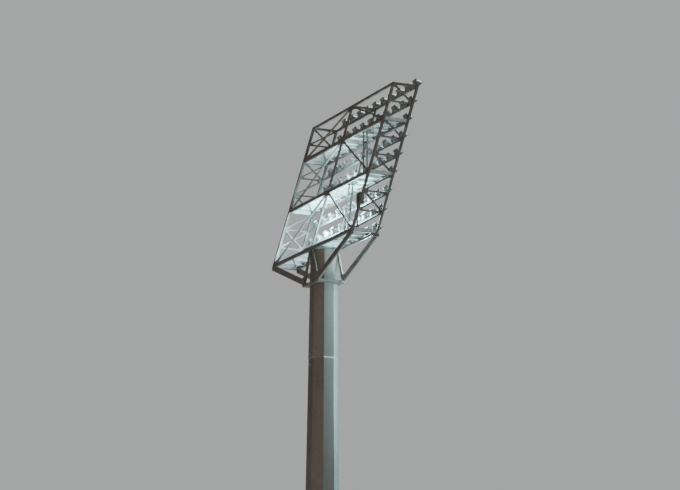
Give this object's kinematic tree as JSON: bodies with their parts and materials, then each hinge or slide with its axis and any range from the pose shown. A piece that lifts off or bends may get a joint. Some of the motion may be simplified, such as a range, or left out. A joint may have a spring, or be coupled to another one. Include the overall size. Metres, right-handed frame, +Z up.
{
  "type": "stadium floodlight mast",
  "caption": "Tapered octagonal mast with a leaning three-deck lamp head on struts; each row of round floodlights tilts in its stirrups.",
  "frame": {"origin": "centre of the base flange's underside, on the mast's axis", "axes": "+Z up the mast, -Y the way the floodlights face, X along the lamp head; the -X end is the near end"},
  "size_m": [7.3, 3.6556, 30.2028],
  "materials": {
    "galvanised": "dull hot-dip galvanising, weathered grey-brown",
    "bright_steel": "lighter galvanising on thin sections",
    "deck_plate": "pale galvanised sheet",
    "foot_steel": "galvanised thick plate",
    "gear_case": "dark powder coat",
    "stirrup": "galvanised strip",
    "lamp_housing": "weathered die-cast aluminium"
  },
  "bodies": {
    "mast": {"base_flange": "foot_steel", "base_gussets": "foot_steel", "door_frame": "galvanised", "access_door": "bright_steel", "shaft_lower": "galvanised", "shaft_middle": "galvanised", "shaft_upper": "galvanised", "head_plate": "galvanised", "collar": "galvanised", "struts_front": "galvanised", "struts_back": "galvanised", "deck_1_frame": "galvanised", "deck_2_frame": "galvanised", "deck_3_frame": "galvanised", "top_frame": "galvanised", "deck_1_floor": "deck_plate", "deck_2_floor": "deck_plate", "deck_3_floor": "deck_plate", "column_near_back": "galvanised", "column_near_front": "galvanised", "column_far_back": "galvanised", "column_far_front": "galvanised", "back_posts": "galvanised", "front_posts": "galvanised", "end_truss_near": "galvanised", "end_truss_far": "galvanised", "back_bracing": "galvanised", "front_rails": "bright_steel", "ladder_lower": "bright_steel", "ladder_upper": "bright_steel", "end_panel_far": "bright_steel", "gear_box": "gear_case", "gear_post": "galvanised", "stirrups_1": "stirrup", "stirrups_2": "stirrup", "stirrups_3": "stirrup", "stirrups_4": "stirrup", "stirrups_5": "stirrup", "stirrups_6": "stirrup", "stirrups_7": "stirrup", "stirrups_8": "stirrup", "stirrups_9": "stirrup"},
    "row_1": {"lamps_1": "lamp_housing"},
    "row_2": {"lamps_2": "lamp_housing"},
    "row_3": {"lamps_3": "lamp_housing"},
    "row_4": {"lamps_4": "lamp_housing"},
    "row_5": {"lamps_5": "lamp_housing"},
    "row_6": {"lamps_6": "lamp_housing"},
    "row_7": {"lamps_7": "lamp_housing"},
    "row_8": {"lamps_8": "lamp_housing"},
    "row_9": {"lamps_9": "lamp_housing"}
  },
  "joints": [
    {"name": "row_1_tilt", "type": "hinge", "parent": "mast", "child": "row_1", "pos_m": [0, -0.7, 24.26], "axis": [1, 0, 0], "range_deg": [-35, 28]},
    {"name": "row_2_tilt", "type": "hinge", "parent": "mast", "child": "row_2", "pos_m": [0, -0.91506, 25.01], "axis": [1, 0, 0], "range_deg": [-35, 28]},
    {"name": "row_3_tilt", "type": "hinge", "parent": "mast", "child": "row_3", "pos_m": [0, -1.13012, 25.76], "axis": [1, 0, 0], "range_deg": [-35, 28]},
    {"name": "row_4_tilt", "type": "hinge", "parent": "mast", "child": "row_4", "pos_m": [0, -1.34518, 26.51], "axis": [1, 0, 0], "range_deg": [-35, 28]},
    {"name": "row_5_tilt", "type": "hinge", "parent": "mast", "child": "row_5", "pos_m": [0, -1.5459, 27.21], "axis": [1, 0, 0], "range_deg": [-35, 28]},
    {"name": "row_6_tilt", "type": "hinge", "parent": "mast", "child": "row_6", "pos_m": [0, -1.74662, 27.91], "axis": [1, 0, 0], "range_deg": [-35, 28]},
    {"name": "row_7_tilt", "type": "hinge", "parent": "mast", "child": "row_7", "pos_m": [0, -1.94734, 28.61], "axis": [1, 0, 0], "range_deg": [-35, 28]},
    {"name": "row_8_tilt", "type": "hinge", "parent": "mast", "child": "row_8", "pos_m": [0, -2.14806, 29.31], "axis": [1, 0, 0], "range_deg": [-35, 28]},
    {"name": "row_9_tilt", "type": "hinge", "parent": "mast", "child": "row_9", "pos_m": [0, -2.34879, 30.01], "axis": [1, 0, 0], "range_deg": [-35, 28]}
  ]
}
